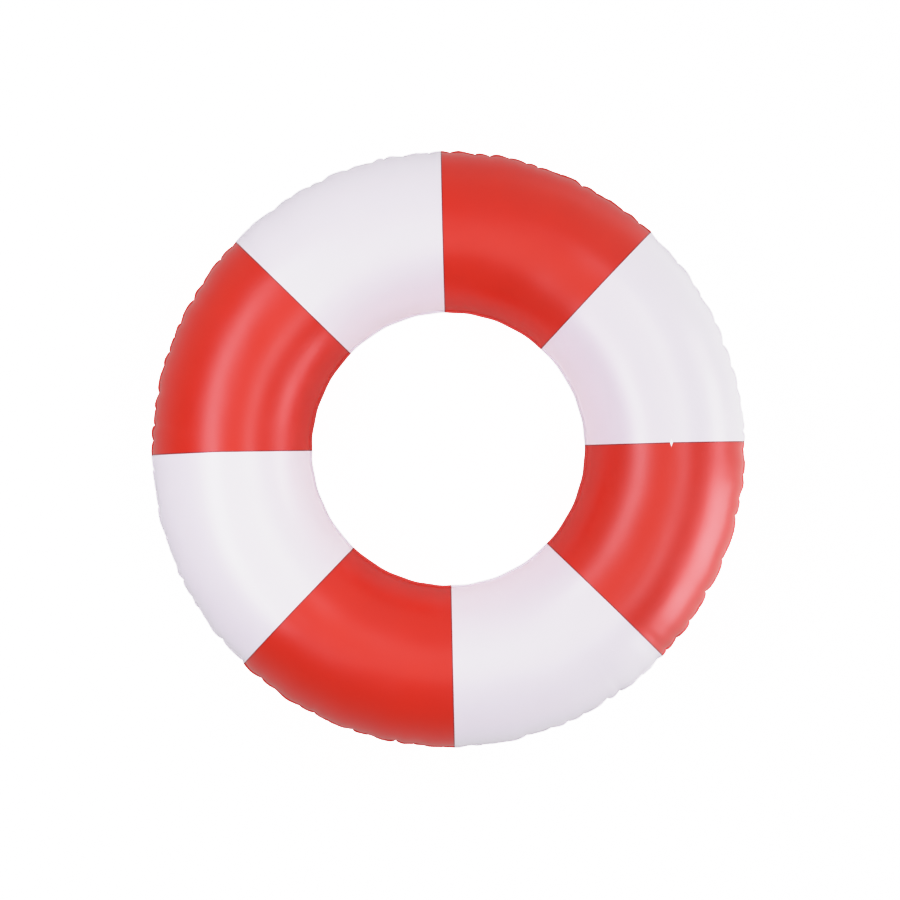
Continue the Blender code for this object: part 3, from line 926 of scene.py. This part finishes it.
world = bpy.data.worlds.new("studio")
world.use_nodes = True
bpy.context.scene.world = world
put = adder(world.node_tree)
compute = calculator(put)
heading = put("ShaderNodeTexCoord").outputs["Generated"]
heading = put("ShaderNodeSeparateXYZ", None, {0: heading}).outputs
ahead = {"Value": heading["Y"], "From Min": -0.1, "From Max": 0.8, "To Max": AHEAD_GLOW}
ahead = put("ShaderNodeMapRange", smooth, ahead).outputs["Result"]
room = compute("ADD", ahead, ROOM_GLOW)
fill = ROOM_FILL
for axis, way, amount in ROOM_FILL_SIDES:
    rising = {"From Min": -0.1 * way, "From Max": 1.0 * way, "To Max": amount}
    rising["Value"] = heading[axis]
    rising = put("ShaderNodeMapRange", None, rising).outputs["Result"]
    fill = compute("ADD", rising, fill)
ray = put("ShaderNodeLightPath").outputs
strength = compute("MULTIPLY", ray["Is Glossy Ray"], room)
strength = compute("MULTIPLY_ADD", ray["Is Diffuse Ray"], fill, strength)
strength = compute("MULTIPLY_ADD", ray["Is Camera Ray"], BACKDROP, strength)
background = world.node_tree.nodes["Background"].inputs
world.node_tree.links.new(strength, background["Strength"])
shown = mix_colour(put, ray["Is Glossy Ray"], (1, 1, 1, 1), ROOM_WARM)
world.node_tree.links.new(shown, background["Color"])


# The lights: two long strip boxes high on either side, a soft one overhead, and two on the right,
# one far and one low. They differ in how much of their light also fills the shadows.

LIGHT_TINT = (1.0, 0.93, 1.05)


def strip_light(name, place, aim, width, length, radiance, fills, tint=LIGHT_TINT):
    """A rectangular light with its long side along Y. Its power gives it the radiance asked for.

    It is made as two lights in one place: one fills, with a share of the radiance, and the other
    only glints."""
    back = np.array(place, float) - np.array(aim, float)
    back /= np.linalg.norm(back)
    side = np.cross([0, 1, 0], back)
    side /= np.linalg.norm(side)
    matrix = np.eye(4)
    matrix[:3, :3] = np.stack([side, np.cross(back, side), back], -1)
    matrix[:3, 3] = place
    for kind, part in (("fill", fills), ("glint", 1 - fills)):
        if part == 0:
            continue
        data = bpy.data.lights.new(name + "_" + kind, "AREA")
        data.shape = "RECTANGLE"
        data.size, data.size_y = width, length
        data.color = tint
        data.energy = part * radiance * math.pi * width * length
        made = bpy.data.objects.new(name + "_" + kind, data)
        bpy.context.scene.collection.objects.link(made)
        made.matrix_world = [list(row) for row in matrix.T]
        made.visible_camera = False
        made.visible_diffuse = kind == "fill"


strip_light("left_strip", (-0.84, 0, 1.4), (0, 0, 0.1), 0.42, 1.4, 10.8, 0.54)
strip_light("right_strip", (1.18, -0.1, 2.65), (0, 0, 0.1), 0.6, 2.6, 4.2, 1.0)
strip_light("overhead", (0.1, -0.1, 1.45), (0.1, -0.1, 0.1), 1.1, 1.1, 1.0, 0.0, ROOM_WARM[:3])
strip_light("far_panel", (2.2, -0.35, 0.55), (-0.2, -0.1, 0.17), 0.75, 2.6, 4.5, 0.0)
strip_light("low_panel", (0.66, -0.33, 0.19), (0.3, -0.33, 0.19), 0.31, 0.5, 5.6, 0.0)


# The camera hangs straight over the ring. Highlights roll off softly in it: the shoulder gives
# pairs of brightness in the scene and brightness shown.

CAMERA_PLACE = (0.0021, -0.0012, 2.7396)
FOCAL_LENGTH = 85.0
SENSOR = 36.0
WHITE_LEVEL = 2.0
SHOULDER = (
    (0.0, 0.0),
    (0.75, 0.75),
    (0.82, 0.80),
    (0.90, 0.842),
    (1.0, 0.872),
    (1.2, 0.905),
    (2.0, 0.985),
)

lens = bpy.data.cameras.new("camera")
lens.lens = FOCAL_LENGTH
lens.sensor_width = SENSOR
lens.clip_end = 200.0
camera = bpy.data.objects.new("camera", lens)
camera.location = CAMERA_PLACE
bpy.context.scene.collection.objects.link(camera)
bpy.context.scene.camera = camera

view = bpy.context.scene.view_settings
view.view_transform = "Standard"
view.use_curve_mapping = True
curve = view.curve_mapping
curve.white_level = (WHITE_LEVEL, WHITE_LEVEL, WHITE_LEVEL)
points = curve.curves[3].points
while len(points) < len(SHOULDER):
    points.new(0.5, 0.5)
for point, (bright, shown) in zip(points, SHOULDER):
    point.location = (bright / WHITE_LEVEL, shown)
    point.handle_type = "VECTOR"
curve.update()
